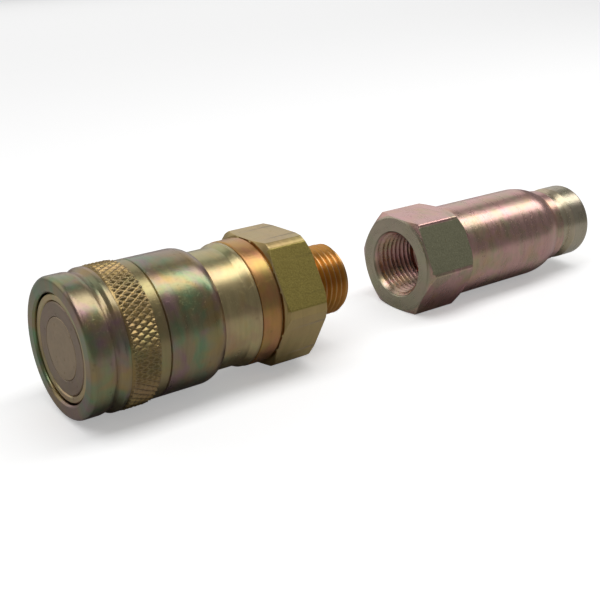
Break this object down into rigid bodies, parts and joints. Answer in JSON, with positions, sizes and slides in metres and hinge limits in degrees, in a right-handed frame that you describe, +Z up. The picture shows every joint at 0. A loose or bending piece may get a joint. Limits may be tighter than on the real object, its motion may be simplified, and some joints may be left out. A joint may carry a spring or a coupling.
{
  "type": "flat-face quick coupling",
  "caption": "Flat-face ball-lock quick coupling for coolant lines: a coupler with a knurled spring-loaded sleeve and a male thread, and its nipple.",
  "frame": {"origin": "centre of the coupler's flat face, where the nipple's probe goes in", "axes": "+X along the coupler from its flat face to its male thread, +Z up, with the nipple lying behind the thread and pointing the same way"},
  "size_m": [0.1997, 0.0435, 0.0392],
  "materials": {
    "coupler_plating": "turned steel with a yellow iridescent zinc plating, olive to straw",
    "sleeve_plating": "turned and knurled steel with a yellow iridescent zinc plating",
    "face_plating": "fine turned steel with a pinkish zinc plating",
    "adapter_plating": "turned steel with a golden zinc plating, rough on the forged flats",
    "nipple_plating": "turned steel with a rose and olive iridescent zinc plating",
    "bare_steel": "bright steel",
    "seal_rubber": "smooth black rubber",
    "backup_plastic": "white fluoropolymer"
  },
  "bodies": {
    "fixed_parts": {"coupler_body": "coupler_plating", "sleeve_spring": "bare_steel", "locking_balls": "bare_steel", "valve_stem": "face_plating", "stem_seal": "seal_rubber", "valve_spring": "bare_steel", "stem_carrier": "bare_steel", "stem_nut": "bare_steel", "probe_seal": "seal_rubber", "backup_ring": "backup_plastic", "threaded_adapter": "adapter_plating", "adapter_seal": "seal_rubber", "port_body": "nipple_plating", "probe": "nipple_plating", "probe_joint_seal": "seal_rubber", "poppet_spring": "bare_steel", "poppet_guide": "bare_steel"},
    "sleeve_ring": {"sleeve_stop_ring": "bare_steel"},
    "sleeve": {"locking_sleeve": "sleeve_plating"},
    "valve": {"valve_sleeve": "face_plating"},
    "nipple_valve": {"poppet": "face_plating", "poppet_seal": "seal_rubber"}
  },
  "joints": [
    {"name": "sleeve_slide", "type": "slide", "parent": "fixed_parts", "child": "sleeve_ring", "axis": [1, 0, 0], "range_m": [0, 0.0054], "stiffness_N_per_m": 2500, "springref_m": -0.004, "deforming": ["sleeve_spring"]},
    {"name": "sleeve_turn", "type": "hinge", "parent": "sleeve_ring", "child": "sleeve", "pos_m": [0.019, 0, 0], "axis": [1, 0, 0], "continuous": true},
    {"name": "valve_push", "type": "slide", "parent": "fixed_parts", "child": "valve", "axis": [1, 0, 0], "range_m": [0, 0.02], "stiffness_N_per_m": 1500, "springref_m": -0.006, "deforming": ["valve_spring"]},
    {"name": "poppet_push", "type": "slide", "parent": "fixed_parts", "child": "nipple_valve", "axis": [-1, 0, 0], "range_m": [0, 0.02], "stiffness_N_per_m": 1200, "springref_m": -0.006, "deforming": ["poppet_spring"]}
  ]
}
